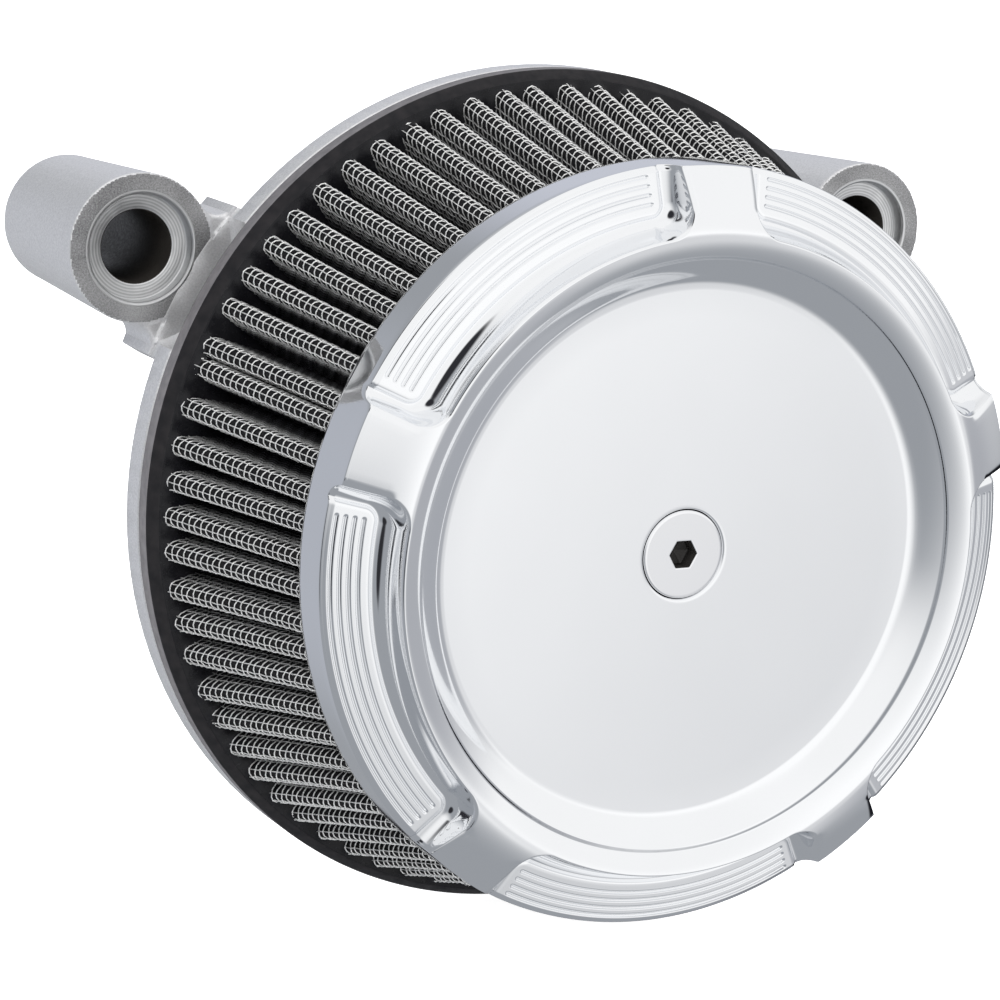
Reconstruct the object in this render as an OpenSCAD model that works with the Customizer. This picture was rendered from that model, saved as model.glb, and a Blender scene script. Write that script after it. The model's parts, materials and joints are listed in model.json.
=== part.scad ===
// Round motorcycle air filter: backing plate, tapered pleated element and a chromed cover.
// The filter's axis lies along Y. The cover faces -Y, the engine is on the +Y side, and +Z is up.
// The origin is the centre of the throttle bore, on the backing plate's rear mounting face.

/* [Backing plate] */
// Radius of the plate's rim
plate_r = 79.4; // [76:0.1:84]
// Thickness of the plate's rim
plate_t = 5.8; // [4.5:0.1:8]
// Distance from the rear mounting face to the plate's front face
seat_depth = 10; // [9:0.5:14]
// Radius of the throttle bore
throttle_r = 23; // [20:0.5:24]
// Radius of the rounded inlet edge
inlet_round = 5; // [3:0.5:5]
// Radius of the circle that the throttle screws stand on
throttle_screw_circle = 34; // [34:0.5:37]

/* [Breather bosses] */
// Sideways distance from the axis to each boss
boss_x = 76.6; // [74:0.1:80]
// Height of the bosses above the axis
boss_z = 46.2; // [42:0.1:50]
// Radius of a boss at its front face
boss_front_r = 13.6; // [13:0.1:15]
// Radius of a boss at its rear face
boss_rear_r = 12.2; // [12:0.1:13]
// Length of a boss
boss_len = 39.5; // [34:0.5:46]
// Distance of the boss face behind the plate's front face
boss_set_back = 8.5; // [7:0.5:10]
// Radius of the hole for the breather bolt
breather_r = 6.6; // [6:0.1:7]
// Radius of the counterbore in the boss face
counterbore_r = 9.7; // [9:0.1:10.5]

/* [Filter element] */
// Number of pleats
pleats = 72; // [50:1:80]
// Radius over the pleat crowns at the rear
crown_rear_r = 76.5; // [74:0.1:77]
// Radius over the pleat crowns at the front
crown_front_r = 65.2; // [62:0.1:65.3]
// Depth of a pleat at the rear
pleat_depth = 15; // [12:0.5:17]
// Thickness of the cotton media
media_t = 0.9; // [0.6:0.1:1.2]
// Thickness of each wire mesh
mesh_t = 0.3; // [0.2:0.05:0.4]
// Overall length of the element
element_len = 51.6; // [48:0.1:51.7]

/* [Cover] */
// Outside radius of the cover
cover_r = 68.2; // [67:0.1:70]
// Wall thickness of the cover's skirt
skirt_t = 2.3; // [1.8:0.1:2.5]
// Radius of the flat disc in the middle
disc_r = 47.8; // [44:0.1:49]
// Number of grooved pockets
pocket_count = 5; // [3:1:6]
// Angle that one pocket spans
pocket_angle = 60; // [40:1:62]
// Number of grooves in each pocket
groove_count = 4; // [2:1:5]
// How far the cover is turned from having a pocket at the bottom
cover_turn = -1.7; // [-36:0.1:36]

/* [Cover screw] */
// Major radius of the 5/16-18 thread
screw_r = 3.96; // [3.9:0.01:4]
// Radius of the countersunk head
head_r = 8; // [7.8:0.1:8.2]
// Length of the screw with its head
screw_len = 20; // [19:0.5:22]

/* [Hidden] */
$fn = 96;

eps = 0.01;
gap = 0.3;           // clearance between pieces that come apart
layer_gap = 0.02;    // clearance between the bonded layers of the element

// Heights are measured forward from the plate's front face, where the element seats.
cap_t = 5.6;         // rear end cap
cap_straight = 3.5;  // its straight side, below the chamfer
front_cap_t = 5.6;
front_cap_r = 65.5;
media_top = element_len - front_cap_t;
cover_back = 45.2;   // rear edge of the skirt
cover_inside = element_len + gap;
pocket_edge = 54.1;  // pocket floor where it meets the skirt
rim_edge = 57.2;     // land where it meets the skirt
disc_top = 56.8;
crest_top = 62.8;
crest_r = 56;
crest_round = 2.6;
land_inner_r = 58.2;
dish_r = 53.2;
pocket_wall_r = 57;
pocket_slope = 0.25; // rise of the pocket floor towards the axis
groove_r = 0.45;
groove_inset = 1.55;  // from the cover's outside to the first groove
groove_pitch = 1.53;

// Bracket, standoffs and throttle screws
standoff_len = 36;
arm_t = 3;
arm_w = 11;
arm_top = standoff_len + arm_t;
hub_top = 47.6;
hub_r = 12;
nut_r = 7;
nut_len = 10;
nut_bore_r = screw_r + 0.06;
thread_hole_r = 3.4;
throttle_thread_r = 3.1;
throttle_shank_r = 2.8;  // plain shank, reduced to the thread's pitch diameter
throttle_screw_len = 63.5;
cap_head_r = 4.76;
cap_head_h = 6.35;
washer_t = 1.6;
hex_af = 4.76;
socket_depth = 3;
gasket_t = 0.8;
pad_r = 40;

// Countersunk screw
head_angle = 82;
head_h = (head_r - screw_r) / tan(head_angle / 2);
ring_section = 0.88;
ring_r = screw_r + 0.05 + ring_section;
ring_pocket_r = ring_r + ring_section + 0.15;
ring_z = disc_top - head_h - ring_section - 0.1;

// Breather bosses
boss_angle = atan2(boss_z, boss_x);
boss_dist = norm([boss_x, boss_z]);
gallery_r = 3.5;
gallery_z = -15;
rib_wall = 2.6;
gallery_outlet_dist = 46;
counterbore_depth = 2.5;
spot_face_r = 17.2;  // round cut in the rim that clears the bolt head
o_ring_r = 9.4;
o_ring_section = 1;
web_half = 12;
web_round = 3.5;
web_root = 16;       // how far the web reaches in behind the plate
web_back = -22;

function hex_r(af) = af / 2 / cos(30);

// The filter's own axis runs forward from the plate's front face.
module on_axis() translate([0, -seat_depth, 0]) rotate([90, 0, 0]) children();

module from_to(z0, z1) translate([0, 0, z0]) linear_extrude(z1 - z0) children();

module rod(r, z0, z1) translate([0, 0, z0]) cylinder(r = r, h = z1 - z0);

module tube(r_out, r_in, z0, z1) difference() {
    rod(r_out, z0, z1);
    rod(r_in, z0 - 1, z1 + 1);
}

module throttle_positions() for (k = [0:2]) rotate([0, 0, 90 + 120 * k])
    translate([throttle_screw_circle, 0, 0]) children();

module boss_positions() for (side = [0, 1]) mirror([side, 0, 0])
    rotate([0, 0, boss_angle]) translate([boss_dist, 0, 0]) children();

// ---- Backing plate ----

// Outline of the web between plate and boss, with rounded inside corners at the rim
module web_outline() {
    flare_half = web_half + web_round;
    rim_x = sqrt(pow(plate_r + web_round, 2) - pow(flare_half, 2));
    translate([plate_r - web_root, -web_half]) square([boss_dist - plate_r + web_root, 2 * web_half]);
    difference() {
        translate([plate_r - web_root, -flare_half]) square([rim_x - plate_r + web_root, 2 * flare_half]);
        circle(r = plate_r - 4);
        for (side = [-1, 1]) translate([rim_x, side * flare_half]) circle(r = web_round);
    }
}

module boss_and_web() rotate([0, 0, boss_angle]) {
    boss_front = -boss_set_back;
    from_to(web_back, boss_front - 0.4) web_outline();
    from_to(web_back, -plate_t + eps) intersection() {
        web_outline();
        circle(r = plate_r - 0.6);
    }
    // Raised rib that carries the breather gallery across the back of the plate
    translate([gallery_outlet_dist, 0, gallery_z]) {
        rotate([0, 90, 0]) cylinder(r = gallery_r + rib_wall, h = boss_dist - gallery_outlet_dist);
        rod(gallery_r + rib_wall, 0, -gallery_z - 1);
        translate([0, -gallery_r - rib_wall, 0])
            cube([plate_r - 8 - gallery_outlet_dist, 2 * (gallery_r + rib_wall), -gallery_z - plate_t + eps]);
    }
    translate([boss_dist, 0, boss_front - boss_len])
        cylinder(r1 = boss_rear_r, r2 = boss_front_r, h = boss_len);
}

module rod_at(x, r, z0, z1) translate([x, 0, 0]) rod(r, z0, z1);

module boss_cuts() {
    boss_front = -boss_set_back;
    boss_rear = boss_front - boss_len;
    rotate([0, 0, boss_angle]) {
        rod_at(boss_dist, breather_r, boss_rear - 1, boss_front + 1);
        rod_at(boss_dist, counterbore_r, boss_front - counterbore_depth, boss_front + 1);
        rod_at(boss_dist, spot_face_r, boss_front, 1);
        // Gallery from the bolt hole to the clean side of the element
        translate([gallery_outlet_dist, 0, gallery_z]) rotate([0, 90, 0])
            cylinder(r = gallery_r, h = boss_dist - gallery_outlet_dist);
        rod_at(gallery_outlet_dist, gallery_r, gallery_z, 1);
        translate([boss_dist, 0, boss_rear]) rotate_extrude()
            translate([o_ring_r - o_ring_section, -1]) square([2 * o_ring_section, 3]);
    }
}

module backing_plate() color("silver") on_axis() difference() {
    union() {
        rotate_extrude() polygon([[0, -seat_depth], [pad_r, -seat_depth], [pad_r + 3, -plate_t],
            [plate_r, -plate_t], [plate_r, -0.5], [plate_r - 0.5, 0], [0, 0]]);
        rod(throttle_r + inlet_round + 0.2, -1, 3);
        tube(56.2, 53.6, -1, 3);
        for (side = [0, 1]) mirror([side, 0, 0]) boss_and_web();
    }
    rod(throttle_r, -seat_depth - 1, 4);
    // Rounded inlet
    rotate_extrude() difference() {
        translate([throttle_r - 1, 3 - inlet_round]) square([inlet_round + 1, inlet_round + 1]);
        translate([throttle_r + inlet_round, 3 - inlet_round]) circle(r = inlet_round);
    }
    throttle_positions() rod(thread_hole_r, -seat_depth - 1, 1);
    for (side = [0, 1]) mirror([side, 0, 0]) boss_cuts();
}

module throttle_gasket() color("dimgray") on_axis() difference() {
    rod(pad_r - 0.5, -seat_depth - gasket_t, -seat_depth);
    rod(throttle_r + 0.5, -seat_depth - 2, -seat_depth + 1);
    throttle_positions() rod(thread_hole_r, -seat_depth - 2, -seat_depth + 1);
}

module boss_o_rings() color("black") on_axis() boss_positions()
    translate([0, 0, -boss_set_back - boss_len + o_ring_section + 0.05]) rotate_extrude()
        translate([o_ring_r, 0]) circle(r = o_ring_section - 0.02, $fn = 32);

// ---- Bracket that carries the cover ----

module standoffs() color("silver") on_axis() throttle_positions()
    tube(5, thread_hole_r, 0, standoff_len);

module cover_bracket() color("gray") on_axis() {
    from_to(standoff_len, arm_top) difference() {
        union() {
            circle(r = hub_r + 6);
            throttle_positions() {
                circle(r = 7);
                translate([-throttle_screw_circle, -arm_w / 2]) square([throttle_screw_circle, arm_w]);
            }
        }
        circle(r = nut_r);
        throttle_positions() circle(r = thread_hole_r);
    }
    tube(hub_r, nut_r, arm_top - 1, hub_top);
}

module bracket_nut() color("goldenrod") on_axis() tube(nut_r, nut_bore_r, hub_top - nut_len, hub_top);

module lock_washers() color("silver") on_axis() throttle_positions()
    tube(5.6, thread_hole_r, arm_top, arm_top + washer_t);

module throttle_screws() color("dimgray") on_axis() throttle_positions() {
    head_base = arm_top + washer_t;
    thread_top = -seat_depth - gasket_t;
    rod(throttle_thread_r, head_base - throttle_screw_len, thread_top);
    rod(throttle_shank_r, thread_top - eps, head_base);
    difference() {
        rod(cap_head_r, head_base, head_base + cap_head_h);
        translate([0, 0, head_base + cap_head_h - socket_depth])
            cylinder(r = hex_r(hex_af), h = socket_depth + 1, $fn = 6);
    }
}

// ---- Filter element ----

// The pleated sheet's outline at the rear, offset outward from the middle of the sheet:
// an arc over each crown, then an arc round the foot beside it.
crown_tip_r = 0.85;
foot_tip_r = 0.8;
tip_steps = 2;
sheet_t = media_t + 2 * mesh_t + 2 * layer_gap;
function pleat_points(offset) = let (
        pitch = 360 / pleats,
        crown_c = crown_rear_r - sheet_t / 2 - crown_tip_r,
        foot_c = crown_rear_r - pleat_depth + sheet_t / 2 + foot_tip_r
    ) [
        for (k = [0:pleats - 1]) each concat(
            [for (i = [0:tip_steps]) let (a = -90 + 180 * i / tip_steps, r = crown_tip_r + offset)
                turned(k * pitch, crown_c + r * cos(a), r * sin(a))],
            [for (i = [0:tip_steps]) let (a = -90 + 180 * i / tip_steps, r = foot_tip_r - offset)
                turned((k + 0.5) * pitch, foot_c - r * cos(a), r * sin(a))])
    ];
function turned(angle, x, y) = [x * cos(angle) - y * sin(angle), x * sin(angle) + y * cos(angle)];

// A layer of the pleated sheet between two offsets, tapering towards the cover
module pleated_layer(inner, outer)
    translate([0, 0, cap_t])
        linear_extrude(media_top - cap_t, scale = crown_front_r / crown_rear_r) difference() {
            polygon(pleat_points(outer));
            polygon(pleat_points(inner));
        }

module filter_media() color("#202024") on_axis() pleated_layer(-media_t / 2, media_t / 2);

module outer_wire_mesh() color("lightgray") on_axis()
    pleated_layer(media_t / 2 + layer_gap, media_t / 2 + layer_gap + mesh_t);

module inner_wire_mesh() color("lightgray") on_axis()
    pleated_layer(-media_t / 2 - layer_gap - mesh_t, -media_t / 2 - layer_gap);

module rear_end_cap() color("#303034") on_axis() rotate_extrude()
    polygon([[57.5, 0], [plate_r, 0], [plate_r, cap_straight], [plate_r - 1.7, cap_t], [57.5, cap_t]]);

module front_end_cap() color("#303034") on_axis() rotate_extrude()
    polygon([[50, media_top], [front_cap_r, media_top], [front_cap_r, element_len - 1.2],
        [front_cap_r - 1.2, element_len], [50, element_len]]);

// ---- Cover ----

function pocket_floor(r) = pocket_edge + pocket_slope * (cover_r - r);

module cover_solid() rotate_extrude() {
    polygon([[0, cover_back], [cover_r, cover_back], [cover_r, rim_edge - 0.6], [cover_r - 0.6, rim_edge],
        [land_inner_r, crest_top - 1.2], [crest_r, crest_top - crest_round],
        [dish_r, crest_top - crest_round - 1], [disc_r, disc_top], [0, disc_top]]);
    translate([crest_r, crest_top - crest_round]) circle(r = crest_round, $fn = 48);
}

module pocket_cut() rotate([0, 0, -pocket_angle / 2]) rotate_extrude(angle = pocket_angle) {
    polygon([[pocket_wall_r, crest_top + 1], [pocket_wall_r, pocket_floor(pocket_wall_r) + 1.2],
        [pocket_wall_r + 1.2, pocket_floor(pocket_wall_r + 1.2)], [cover_r + 1, pocket_floor(cover_r + 1)],
        [cover_r + 1, crest_top + 1]]);
}

module groove_cuts() for (i = [0:groove_count - 1]) {
    r = cover_r - groove_inset - i * groove_pitch;
    span = pocket_angle - 7;
    rotate([0, 0, -span / 2]) rotate_extrude(angle = span)
        translate([r, pocket_floor(r) + 0.1]) circle(r = groove_r, $fn = 24);
}

module cover() color("lightsteelblue") on_axis() rotate([0, 0, cover_turn]) difference() {
    cover_solid();
    difference() {
        rod(cover_r - skirt_t, cover_back - 1, cover_inside);
        rod(9, hub_top + gap, cover_inside + 1);
    }
    for (k = [0:pocket_count - 1]) rotate([0, 0, -90 + 360 / pocket_count * k]) {
        pocket_cut();
        groove_cuts();
    }
    // Countersink, O-ring pocket and clearance hole
    rod(screw_r + 0.35, hub_top, disc_top);
    rod(ring_pocket_r, ring_z - ring_section - 0.1, disc_top - head_h + 2);
    translate([0, 0, disc_top - head_h]) cylinder(r1 = screw_r + 0.08, r2 = head_r + 0.08, h = head_h);
    rod(head_r + 0.08, disc_top - eps, disc_top + 1);
}

// ---- Cover screw ----

module screw_o_ring() color("black") on_axis() translate([0, 0, ring_z]) rotate_extrude()
    translate([ring_r, 0]) circle(r = ring_section, $fn = 32);

module cover_screw() color("silver") on_axis() difference() {
    union() {
        rod(screw_r, disc_top - screw_len, disc_top - head_h + eps);
        translate([0, 0, disc_top - head_h]) cylinder(r1 = screw_r, r2 = head_r, h = head_h);
    }
    translate([0, 0, disc_top - socket_depth]) cylinder(r = hex_r(hex_af), h = socket_depth + 1, $fn = 6);
}

backing_plate();
throttle_gasket();
boss_o_rings();
standoffs();
cover_bracket();
bracket_nut();
lock_washers();
throttle_screws();
rear_end_cap();
filter_media();
outer_wire_mesh();
inner_wire_mesh();
front_end_cap();
cover();
screw_o_ring();
cover_screw();
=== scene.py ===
"""Looks for the motorcycle air filter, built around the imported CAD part.

Local heights ("forward") are measured along -Y from the backing plate's front face, in millimetres.
"""
import json
import math

import bpy
import bmesh
import numpy as np
from mathutils import Matrix, Vector


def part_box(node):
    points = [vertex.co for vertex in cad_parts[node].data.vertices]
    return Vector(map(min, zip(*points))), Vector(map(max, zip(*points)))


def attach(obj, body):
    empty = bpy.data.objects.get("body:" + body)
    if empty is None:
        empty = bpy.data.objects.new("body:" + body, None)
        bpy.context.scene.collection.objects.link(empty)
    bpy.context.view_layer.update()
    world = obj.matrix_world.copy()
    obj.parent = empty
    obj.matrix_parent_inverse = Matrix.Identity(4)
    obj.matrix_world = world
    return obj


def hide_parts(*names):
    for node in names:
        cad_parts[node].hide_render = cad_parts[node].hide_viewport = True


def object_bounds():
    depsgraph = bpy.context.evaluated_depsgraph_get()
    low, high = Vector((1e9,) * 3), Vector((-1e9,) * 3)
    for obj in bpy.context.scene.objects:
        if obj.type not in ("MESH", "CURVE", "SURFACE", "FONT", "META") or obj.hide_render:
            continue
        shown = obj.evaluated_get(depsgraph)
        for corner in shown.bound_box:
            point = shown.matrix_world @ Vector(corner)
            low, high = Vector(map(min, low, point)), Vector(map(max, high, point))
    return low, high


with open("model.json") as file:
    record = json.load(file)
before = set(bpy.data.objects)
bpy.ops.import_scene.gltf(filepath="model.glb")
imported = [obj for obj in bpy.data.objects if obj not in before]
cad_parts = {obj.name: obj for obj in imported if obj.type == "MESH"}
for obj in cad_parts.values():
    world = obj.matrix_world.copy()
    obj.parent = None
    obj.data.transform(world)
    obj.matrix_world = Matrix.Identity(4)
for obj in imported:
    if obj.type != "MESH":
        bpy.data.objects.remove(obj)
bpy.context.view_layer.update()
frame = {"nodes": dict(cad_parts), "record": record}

MM = 0.001
SEAT_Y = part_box("rear_end_cap")[1].y
COVER_LO, COVER_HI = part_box("cover")
COVER_R = (COVER_HI.x - COVER_LO.x) / 2 / MM
COVER_BACK = (SEAT_Y - COVER_HI.y) / MM
CREST_TOP = (SEAT_Y - COVER_LO.y) / MM
CAP_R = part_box("rear_end_cap")[1].x / MM
CAP_T = (SEAT_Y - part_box("rear_end_cap")[0].y) / MM
ELEMENT_LEN = (SEAT_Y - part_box("front_end_cap")[0].y) / MM
MEDIA_TOP = (SEAT_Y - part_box("filter_media")[0].y) / MM
BOSS_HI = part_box("boss_o_rings")[1]
O_RING_OUT = 10.38
BOSS_X = BOSS_HI.x / MM - O_RING_OUT
BOSS_Z = BOSS_HI.z / MM - O_RING_OUT
# Forward heights of a boss's two faces, and how far from its axis the casting reaches
BOSS_FACE = -8.5
BOSS_REAR = -48.0
BOSS_REACH = 18.0

rng = np.random.default_rng(7)
TAU = 2 * math.pi


# ---------------------------------------------------------------- mesh helpers

def to_row(x, up, forward):
    """Millimetres on the filter's own axis to metres in the row frame."""
    x, up, forward = np.broadcast_arrays(x, up, forward)
    return np.stack([x * MM, SEAT_Y - forward * MM, up * MM], -1).reshape(-1, 3)


def make_mesh(name, verts, faces, fix_normals):
    mesh = bpy.data.meshes.new(name)
    mesh.from_pydata(verts.tolist(), [], [tuple(f) for f in faces])
    mesh.update()
    if fix_normals:
        bm = bmesh.new()
        bm.from_mesh(mesh)
        bmesh.ops.recalc_face_normals(bm, faces=bm.faces)
        bm.to_mesh(mesh)
        bm.free()
    return mesh


def add_object(name, data):
    obj = bpy.data.objects.new(name, data)
    bpy.context.scene.collection.objects.link(obj)
    return obj


def repaint(obj, material):
    """Makes the material the object's only one."""
    obj.data.materials.clear()
    obj.data.materials.append(material)


def shade_smooth(mesh, sharp_deg):
    mesh.polygons.foreach_set("use_smooth", [True] * len(mesh.polygons))
    if sharp_deg:
        mesh.set_sharp_from_angle(angle=math.radians(sharp_deg))


def add_mesh(name, verts, faces, body, slot, replaces, sharp_deg=None, fix_normals=False):
    mesh = make_mesh(name, verts, faces, fix_normals)
    shade_smooth(mesh, sharp_deg)
    obj = add_object(name, mesh)
    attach(obj, body)
    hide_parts(*replaces)
    obj.data.materials.append(MATERIALS[slot])
    return obj


def grid_faces(rows, cols, close_rows, close_cols):
    """Quads of a grid of points. Columns run round the axis and rows run along the profile."""
    i = np.arange(rows if close_rows else rows - 1)[:, None]
    j = np.arange(cols if close_cols else cols - 1)[None, :]
    i2, j2 = (i + 1) % rows, (j + 1) % cols
    quads = np.stack(np.broadcast_arrays(i * cols + j, i2 * cols + j, i2 * cols + j2, i * cols + j2), -1)
    return quads.reshape(-1, 4)


def revolve(rows, angles, centre=(0.0, 0.0), close_rows=True):
    """Points and faces of a profile turned about the filter's direction.

    A row is (radius, forward), and each of the two may vary with angle.
    """
    n = len(angles)
    r = np.array([np.broadcast_to(row[0], n) for row in rows], float)
    f = np.array([np.broadcast_to(row[1], n) for row in rows], float)
    verts = to_row(centre[0] + r * np.cos(angles), centre[1] + r * np.sin(angles), f)
    faces = [tuple(q) for q in grid_faces(len(rows), n, close_rows, True)]
    if not close_rows:
        faces += [tuple(range(n))[::-1], tuple(range((len(rows) - 1) * n, len(rows) * n))]
    return verts, faces


def joined(parts):
    """Several (points, faces) pairs as one."""
    verts, faces, start = [], [], 0
    for v, f in parts:
        verts.append(v)
        faces += [tuple(int(i) + start for i in face) for face in f]
        start += len(v)
    return np.concatenate(verts), faces


def paint_where(obj, material, test):
    """Gives a second material to the faces whose centre (x, up, forward) and direction pass the test."""
    obj.data.materials.append(material)
    slot_index = len(obj.data.materials) - 1
    n = len(obj.data.polygons)
    centres, normals = np.empty(n * 3), np.empty(n * 3)
    obj.data.polygons.foreach_get("center", centres)
    obj.data.polygons.foreach_get("normal", normals)
    x, y, z = centres.reshape(-1, 3).T / MM
    chosen = test(x, z, SEAT_Y / MM - y, normals.reshape(-1, 3))
    index = np.empty(n, int)
    obj.data.polygons.foreach_get("material_index", index)
    index[chosen] = slot_index
    obj.data.polygons.foreach_set("material_index", index)


def circle_angles(n):
    return np.arange(n) * TAU / n


def rounded_profile(points, radius, steps=3):
    """A closed profile of (r, forward) points, each corner rounded to radius or what a short edge allows."""
    out, n = [], len(points)
    for i in range(n):
        p0, p1, p2 = (np.array(points[(i + k) % n], float) for k in (-1, 0, 1))
        a, b = p0 - p1, p2 - p1
        la, lb = np.linalg.norm(a), np.linalg.norm(b)
        reach = min(radius, 0.4 * la, 0.4 * lb)
        start, end = p1 + a / la * reach, p1 + b / lb * reach
        for k in range(steps + 1):
            t = k / steps
            q = (1 - t) ** 2 * start + 2 * t * (1 - t) * p1 + t ** 2 * end
            out.append((q[0], q[1]))
    return out


def hex_radius(angles, across_flats):
    """Radius of a hexagon with a corner on +X."""
    return across_flats / 2 / np.cos((angles % (TAU / 6)) - TAU / 12)


def add_bevel(obj, width_mm):
    bevel = obj.modifiers.new("edge", "BEVEL")
    bevel.width, bevel.segments = width_mm * MM, 2
    bevel.limit_method, bevel.angle_limit = "ANGLE", math.radians(35)


def apply_modifiers(obj):
    """Replaces the object's mesh by its modified one and clears its modifiers."""
    graph = bpy.context.evaluated_depsgraph_get()
    mesh = bpy.data.meshes.new_from_object(obj.evaluated_get(graph))
    obj.modifiers.clear()
    obj.data = mesh


# ------------------------------------------------------------- pleated element

PLEATS = 72
CROWN_R = 77.0
FRONT_SCALE = 65.2 / CROWN_R
PLEAT_DEPTH = 15.0
SHEET_T = 1.54
CROWN_TIP, FOOT_TIP = 1.15, 0.8
CROWN_C = CROWN_R - SHEET_T / 2 - CROWN_TIP
FOOT_C = CROWN_R - PLEAT_DEPTH + SHEET_T / 2 + FOOT_TIP
MEDIA_HALF = 0.42
WIRE_OFFSET = 0.60
WIRE_R = 0.135
WEAVE = 0.12
HOOP_PITCH = 1.5
SEAM_PLEAT = 31


# ------------------------------------------------------------------- materials

# Scale of the wave texture that gives one band per unit of length
WAVE_PER_PITCH = math.pi / 10
THREAD_SPACING = 0.55


def new_material(name):
    mat = bpy.data.materials.new(name)
    mat.use_nodes = True
    nodes = mat.node_tree.nodes
    shader = nodes["Principled BSDF"]
    coords = nodes.new("ShaderNodeTexCoord").outputs["Object"]
    return mat, nodes, mat.node_tree.links, shader, coords


def noise(nodes, links, coords, per_mm, detail=3.0, rough=0.5):
    tex = nodes.new("ShaderNodeTexNoise")
    tex.inputs["Scale"].default_value = per_mm / MM
    tex.inputs["Detail"].default_value = detail
    tex.inputs["Roughness"].default_value = rough
    links.new(coords, tex.inputs["Vector"])
    return tex.outputs["Fac"]


def ranged(nodes, links, value, low, high, from_low=0.3, from_high=0.7):
    node = nodes.new("ShaderNodeMapRange")
    limits = {"From Min": from_low, "From Max": from_high, "To Min": low, "To Max": high}
    for socket, number in limits.items():
        node.inputs[socket].default_value = number
    links.new(value, node.inputs["Value"])
    return node.outputs["Result"]


def tinted(nodes, links, value, dark, light):
    ramp = nodes.new("ShaderNodeValToRGB")
    ramp.color_ramp.elements[0].position = 0.3
    ramp.color_ramp.elements[1].position = 0.7
    ramp.color_ramp.elements[0].color = (*dark, 1)
    ramp.color_ramp.elements[1].color = (*light, 1)
    links.new(value, ramp.inputs["Fac"])
    return ramp.outputs["Color"]


def bumped(nodes, links, shader, height, depth_mm, strength=1.0, below=None):
    bump = nodes.new("ShaderNodeBump")
    bump.inputs["Strength"].default_value = strength
    bump.inputs["Distance"].default_value = depth_mm * MM
    links.new(height, bump.inputs["Height"])
    if below is not None:
        links.new(below, bump.inputs["Normal"])
    links.new(bump.outputs["Normal"], shader.inputs["Normal"])
    return bump.outputs["Normal"]


def rings(nodes, links, coords, centre_mm, pitch_mm):
    """Fine turning marks round an axis along Y through centre_mm (x, z)."""
    shift = nodes.new("ShaderNodeVectorMath")
    shift.operation = "SUBTRACT"
    shift.inputs[1].default_value = (centre_mm[0] * MM, 0, centre_mm[1] * MM)
    links.new(coords, shift.inputs[0])
    wave = nodes.new("ShaderNodeTexWave")
    wave.wave_type, wave.rings_direction = "RINGS", "Y"
    wave.inputs["Scale"].default_value = WAVE_PER_PITCH / (pitch_mm * MM)
    wave.inputs["Distortion"].default_value = 0.6
    links.new(shift.outputs[0], wave.inputs["Vector"])
    return wave.outputs["Fac"]


def metal(name, dark, light, rough_low, rough_high, grain_per_mm, grain_mm, grain_strength=0.5, metallic=1.0):
    mat, nodes, links, shader, coords = new_material(name)
    shader.inputs["Metallic"].default_value = metallic
    patches = noise(nodes, links, coords, 0.08)
    links.new(tinted(nodes, links, patches, dark, light), shader.inputs["Base Color"])
    fine = noise(nodes, links, coords, grain_per_mm, 4.0, 0.6)
    links.new(ranged(nodes, links, fine, rough_low, rough_high), shader.inputs["Roughness"])
    bumped(nodes, links, shader, fine, grain_mm, grain_strength)
    return mat


def chrome(name, tint):
    mat, nodes, links, shader, coords = new_material(name)
    shader.inputs["Metallic"].default_value = 1.0
    dull = tuple(0.985 * c for c in tint)
    patches = noise(nodes, links, coords, 0.05)
    links.new(tinted(nodes, links, patches, dull, tint), shader.inputs["Base Color"])
    polish = noise(nodes, links, coords, 0.4, 5.0)
    links.new(ranged(nodes, links, polish, 0.03, 0.07), shader.inputs["Roughness"])
    bumped(nodes, links, shader, noise(nodes, links, coords, 0.25, 2.0), 0.004, 0.12)
    return mat


def cast_paint():
    """Satin silver paint over a sand casting: fine grain, a few pits, and slightly duller low spots."""
    mat, nodes, links, shader, coords = new_material("cast_satin")
    shader.inputs["Metallic"].default_value = 0.85
    grain = noise(nodes, links, coords, 2.6, 6.0, 0.65)
    links.new(tinted(nodes, links, grain, (0.60, 0.60, 0.61), (0.80, 0.80, 0.81)), shader.inputs["Base Color"])
    links.new(ranged(nodes, links, grain, 0.46, 0.33), shader.inputs["Roughness"])
    waves = bumped(nodes, links, shader, noise(nodes, links, coords, 0.22, 2.0), 0.10, 0.5)
    bumped(nodes, links, shader, grain, 0.05, 0.8, below=waves)
    return mat


def turned_metal(name, dark, light, centre, pitch, rough=(0.16, 0.3)):
    mat, nodes, links, shader, coords = new_material(name)
    shader.inputs["Metallic"].default_value = 1.0
    marks = rings(nodes, links, coords, centre, pitch)
    links.new(tinted(nodes, links, marks, dark, light), shader.inputs["Base Color"])
    streaks = noise(nodes, links, coords, 0.6, 4.0)
    links.new(ranged(nodes, links, streaks, *rough), shader.inputs["Roughness"])
    bumped(nodes, links, shader, marks, 0.02, 0.35)
    return mat


def moulded(name, dark, light, rough_low, rough_high, bump_per_mm, bump_mm, specular=0.5):
    mat, nodes, links, shader, coords = new_material(name)
    shader.inputs["Specular IOR Level"].default_value = specular
    soft = noise(nodes, links, coords, bump_per_mm, 3.0)
    links.new(tinted(nodes, links, soft, dark, light), shader.inputs["Base Color"])
    sheen = noise(nodes, links, coords, 0.9, 4.0)
    links.new(ranged(nodes, links, sheen, rough_low, rough_high), shader.inputs["Roughness"])
    bumped(nodes, links, shader, soft, bump_mm, 0.6)
    return mat


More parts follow.
